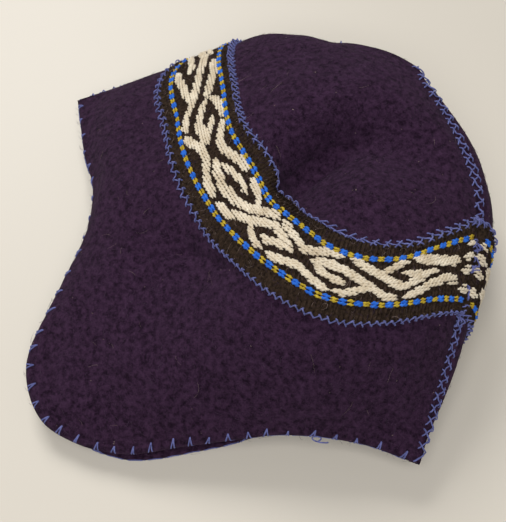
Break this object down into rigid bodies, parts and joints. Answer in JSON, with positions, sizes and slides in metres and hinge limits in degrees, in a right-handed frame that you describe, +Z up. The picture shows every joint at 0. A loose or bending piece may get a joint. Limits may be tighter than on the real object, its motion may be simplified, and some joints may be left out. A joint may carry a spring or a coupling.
{
  "type": "felt hat",
  "caption": "Soft felt hat with a rounded flap front and back, hollow and open at the rim, with a woven band sewn round the head, lying on its back panel.",
  "frame": {"origin": "on the surface, under the middle of the hat's box", "axes": "+Z up from the surface that the hat lies on, +Y from the flaps towards the crown, +X towards the side seam that lies higher"},
  "size_m": [0.292, 0.2685, 0.0843],
  "materials": {
    "felt": "dark aubergine wool felt with a fine fuzz",
    "band": "wool band, cream floats on a brown-black ground with blue and ochre checks",
    "thread": "periwinkle blue sewing yarn, slightly fuzzy"
  },
  "bodies": {
    "root": {"front_panel": "felt", "back_panel": "felt", "band_front": "band", "band_back": "band"}
  },
  "joints": []
}
